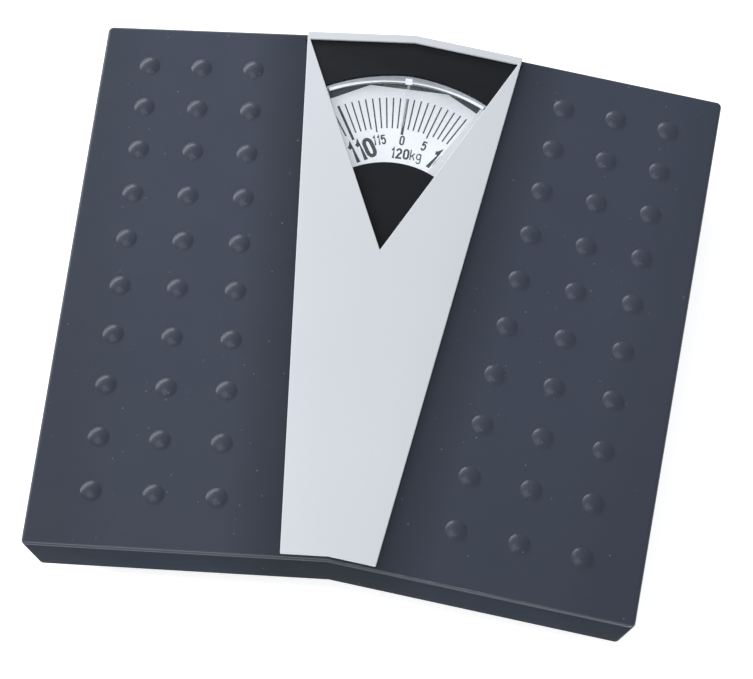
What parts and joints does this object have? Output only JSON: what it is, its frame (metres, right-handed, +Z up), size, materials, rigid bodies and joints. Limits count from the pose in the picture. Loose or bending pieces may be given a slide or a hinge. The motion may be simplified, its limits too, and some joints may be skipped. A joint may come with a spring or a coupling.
{
  "type": "mechanical bathroom scale",
  "caption": "Low mechanical bathroom scale: folded, dimpled dark platform, silver tapering centre strip with a triangular window over a turning dial, levers and springs inside.",
  "frame": {"origin": "on the floor, under the middle of the overall box", "axes": "+Z up, +Y to the back edge where the dial is read, +X to the right of someone who stands on it"},
  "size_m": [0.2998, 0.2822, 0.049],
  "materials": {
    "slate_paint": "satin slate",
    "silver_trim": "fine satin silver",
    "black_plastic": "matt black",
    "clear_plastic": "clear, glossy",
    "dial_white": "matt white, printed",
    "zinc_steel": "zinc plated",
    "pan_enamel": "satin dark grey",
    "spring_steel": "bright spring wire",
    "brass": "machined",
    "foot_rubber": "matt black"
  },
  "bodies": {
    "base": {"base_pan": "pan_enamel", "crank_bracket": "zinc_steel", "crank_pin": "zinc_steel", "dial_bridge": "zinc_steel", "pivot_post": "zinc_steel", "rack_guide": "zinc_steel", "spring_anchor": "zinc_steel", "main_spring": "spring_steel", "foot_front_left": "foot_rubber", "fulcrum_bracket_front_left": "zinc_steel", "foot_back_left": "foot_rubber", "fulcrum_bracket_back_left": "zinc_steel", "lower_hook_plate_left": "zinc_steel", "hold_down_spring_left": "spring_steel", "foot_front_right": "foot_rubber", "fulcrum_bracket_front_right": "zinc_steel", "foot_back_right": "foot_rubber", "fulcrum_bracket_back_right": "zinc_steel", "lower_hook_plate_right": "zinc_steel", "hold_down_spring_right": "spring_steel"},
    "platform": {"platform_shell": "slate_paint", "centre_strip": "silver_trim", "dial_mask": "black_plastic", "dial_lens": "clear_plastic", "load_bracket_front_left": "zinc_steel", "load_bracket_back_left": "zinc_steel", "upper_hook_plate_left": "zinc_steel", "load_bracket_front_right": "zinc_steel", "load_bracket_back_right": "zinc_steel", "upper_hook_plate_right": "zinc_steel"},
    "long_levers": {"lever_nose_plate": "zinc_steel", "long_lever_left": "zinc_steel", "fulcrum_knife_front_left": "zinc_steel", "load_knife_front_left": "zinc_steel", "long_lever_right": "zinc_steel", "fulcrum_knife_front_right": "zinc_steel", "load_knife_front_right": "zinc_steel"},
    "short_lever_left_body": {"short_lever_left": "zinc_steel", "fulcrum_knife_back_left": "zinc_steel", "load_knife_back_left": "zinc_steel", "link_strap_left": "zinc_steel"},
    "short_lever_right_body": {"short_lever_right": "zinc_steel", "fulcrum_knife_back_right": "zinc_steel", "load_knife_back_right": "zinc_steel", "link_strap_right": "zinc_steel"},
    "crank": {"bell_crank": "zinc_steel"},
    "rack_body": {"rack": "zinc_steel"},
    "dial": {"dial_disc": "dial_white", "dial_hub": "brass", "dial_spindle": "brass"},
    "zero_knob": {"zero_wheel": "black_plastic"},
    "zero_screw": {"adjusting_screw": "zinc_steel"}
  },
  "joints": [
    {"name": "dial_spin", "type": "hinge", "parent": "base", "child": "dial", "pos_m": [0, 0.0485, 0.0342], "axis": [0, 0, 1], "range_deg": [0, 360], "stiffness_Nm_per_rad": 0.0298, "springref_deg": -5.16},
    {"name": "platform_press", "type": "slide", "parent": "base", "child": "platform", "axis": [0, 0, -1], "range_m": [0, 0.001], "deforming": ["hold_down_spring_left", "hold_down_spring_right"]},
    {"name": "long_lever_swing", "type": "hinge", "parent": "base", "child": "long_levers", "pos_m": [0, -0.105, 0.024], "axis": [-1, 0, 0], "range_deg": [0, 2.86]},
    {"name": "short_lever_left_swing", "type": "hinge", "parent": "base", "child": "short_lever_left_body", "pos_m": [-0.112, 0.105, 0.024], "axis": [1, 0, 0], "range_deg": [0, 2.86]},
    {"name": "short_lever_right_swing", "type": "hinge", "parent": "base", "child": "short_lever_right_body", "pos_m": [0.112, 0.105, 0.024], "axis": [1, 0, 0], "range_deg": [0, 2.86]},
    {"name": "crank_swing", "type": "hinge", "parent": "base", "child": "crank", "pos_m": [-0.0044, 0.09804, 0.0152], "axis": [1, 0, 0], "range_deg": [0, 51.36], "deforming": ["main_spring"]},
    {"name": "rack_slide", "type": "slide", "parent": "base", "child": "rack_body", "axis": [0, -1, 0], "range_m": [0, 0.01257]},
    {"name": "zero_wheel_spin", "type": "hinge", "parent": "base", "child": "zero_knob", "pos_m": [-0.0044, 0.12867, 0.02376], "axis": [0, 1, 0], "range_deg": [-360, 360]},
    {"name": "screw_slide", "type": "slide", "parent": "base", "child": "zero_screw", "axis": [0, 1, 0], "range_m": [-0.0007, 0.0007]}
  ],
  "couplings": [
    {"joint": "platform_press", "follows": "dial_spin", "m_per_rad": 0.00015915},
    {"joint": "long_lever_swing", "follows": "dial_spin", "ratio": 0.0079577},
    {"joint": "short_lever_left_swing", "follows": "dial_spin", "ratio": 0.0079577},
    {"joint": "short_lever_right_swing", "follows": "dial_spin", "ratio": 0.0079577},
    {"joint": "crank_swing", "follows": "dial_spin", "ratio": 0.14266},
    {"joint": "rack_slide", "follows": "dial_spin", "m_per_rad": 0.002},
    {"joint": "screw_slide", "follows": "zero_wheel_spin", "m_per_rad": -0.00011141}
  ]
}
